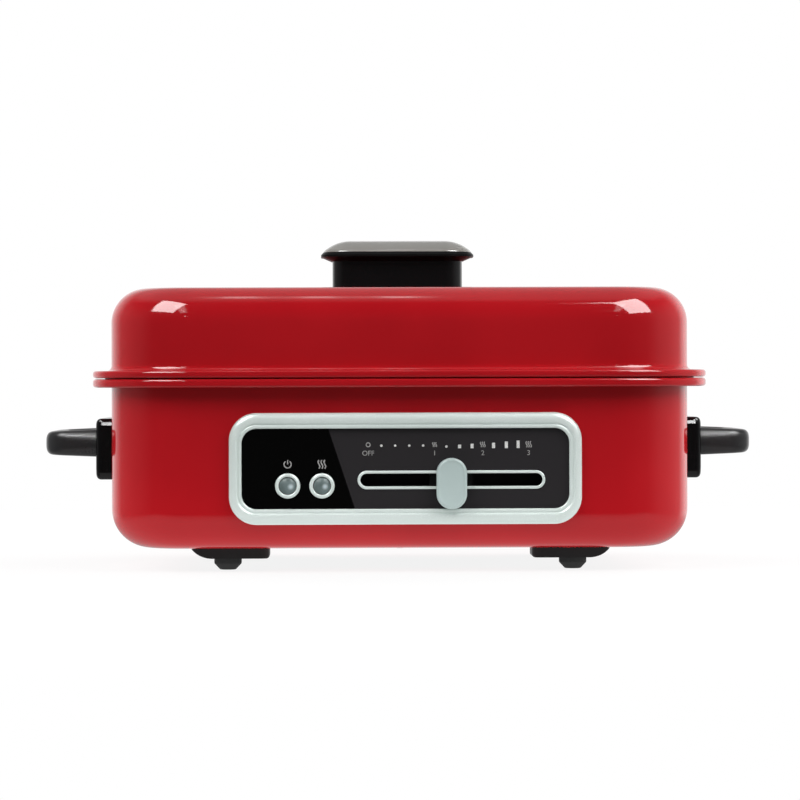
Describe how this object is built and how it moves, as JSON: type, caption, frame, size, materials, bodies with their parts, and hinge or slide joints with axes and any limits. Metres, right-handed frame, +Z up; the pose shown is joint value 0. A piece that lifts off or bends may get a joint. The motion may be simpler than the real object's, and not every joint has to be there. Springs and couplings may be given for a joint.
{
  "type": "electric hot pot with grill",
  "caption": "Rectangular electric hot pot with a lift-off domed lid, lift-out pot and ridged grill plate, slide-set thermostat, side handles and rubber feet.",
  "frame": {"origin": "on the floor under the middle of the body", "axes": "+X to the right along the width, seen from the control panel; +Y to the rear; +Z up"},
  "size_m": [0.4114, 0.2432, 0.1894],
  "materials": {
    "enamel": "glossy red enamel on steel",
    "zinc_sheet": "zinc-plated sheet",
    "screw_steel": "zinc-plated screws",
    "bracket_plastic": "black moulded plastic",
    "foot_rubber": "black rubber",
    "plated_plastic": "satin silver",
    "knob_plastic": "satin silver",
    "panel_plastic": "gloss black with a printed scale",
    "lens_plastic": "clear grey lens",
    "neon_glass": "clear bulb",
    "lead_cover": "glass-silk covered lead",
    "nylon": "natural nylon",
    "bright_steel": "bright steel",
    "phenolic": "black phenolic",
    "heater_sheath": "stainless tube",
    "steatite": "white ceramic",
    "reflector_sheet": "bright aluminised sheet",
    "handle_gloss": "gloss black",
    "handle_matt": "fine matt dark grey",
    "coated_casting": "cast, dark non-stick coating"
  },
  "bodies": {
    "body": {"body_shell": "enamel", "base_plate": "zinc_sheet", "base_screws": "screw_steel", "foot_bracket_front_left": "bracket_plastic", "foot_bracket_front_right": "bracket_plastic", "foot_bracket_rear_left": "bracket_plastic", "foot_bracket_rear_right": "bracket_plastic", "rubber_foot_front_left": "foot_rubber", "rubber_foot_front_right": "foot_rubber", "rubber_foot_rear_left": "foot_rubber", "rubber_foot_rear_right": "foot_rubber", "foot_screws": "screw_steel", "control_bezel": "plated_plastic", "control_panel": "panel_plastic", "bezel_screws": "screw_steel", "slot_trim": "plated_plastic", "power_lamp_ring": "plated_plastic", "heating_lamp_ring": "plated_plastic", "power_lamp_lens": "lens_plastic", "heating_lamp_lens": "lens_plastic", "power_neon": "neon_glass", "heating_neon": "neon_glass", "lamp_leads": "lead_cover", "guide_rod": "bright_steel", "control_chassis": "zinc_sheet", "chassis_screws": "screw_steel", "thermostat_body": "phenolic", "sensor_bulb": "bright_steel", "capillary_tube": "bright_steel", "heating_element": "heater_sheath", "element_supports": "bright_steel", "element_bushes": "steatite", "reflector_liner": "reflector_sheet", "liner_posts": "bright_steel", "terminal_block": "steatite", "thermal_fuse": "steatite", "live_lead": "lead_cover", "neutral_lead": "lead_cover", "heater_lead": "lead_cover", "power_inlet": "phenolic", "inlet_pins": "bright_steel", "inlet_keepers": "bright_steel", "inlet_screws": "screw_steel", "handle_base_left": "handle_gloss", "handle_base_right": "handle_gloss", "handle_grip_left": "handle_matt", "handle_grip_right": "handle_matt", "handle_screws": "screw_steel"},
    "pot": {"cooking_pot": "coated_casting"},
    "grill": {"grill_plate": "coated_casting"},
    "lid": {"lid_shell": "enamel", "lid_handle_post": "handle_gloss", "lid_handle_cap": "handle_gloss", "lid_backing_plate": "bright_steel", "lid_handle_screws": "screw_steel"},
    "slider": {"slider_knob": "knob_plastic", "slider_carriage": "nylon"},
    "pinion": {"drive_pinion": "nylon", "thermostat_spindle": "bright_steel"}
  },
  "joints": [
    {"name": "pot_lift", "type": "slide", "parent": "body", "child": "pot", "axis": [0, 0, 1], "range_m": [0, 0.09]},
    {"name": "grill_lift", "type": "slide", "parent": "pot", "child": "grill", "axis": [0, 0, 1], "range_m": [0, 0.06]},
    {"name": "lid_lift", "type": "slide", "parent": "pot", "child": "lid", "axis": [0, 0, 1], "range_m": [0, 0.12]},
    {"name": "heat_slide", "type": "slide", "parent": "body", "child": "slider", "axis": [1, 0, 0], "range_m": [-0.045, 0.045]},
    {"name": "thermostat_turn", "type": "hinge", "parent": "body", "child": "pinion", "pos_m": [0.0278, -0.07812, 0.0266], "axis": [0, 0, 1], "range_deg": [-125, 125]}
  ],
  "couplings": [
    {"joint": "thermostat_turn", "follows": "heat_slide", "rad_per_m": 47.619}
  ]
}
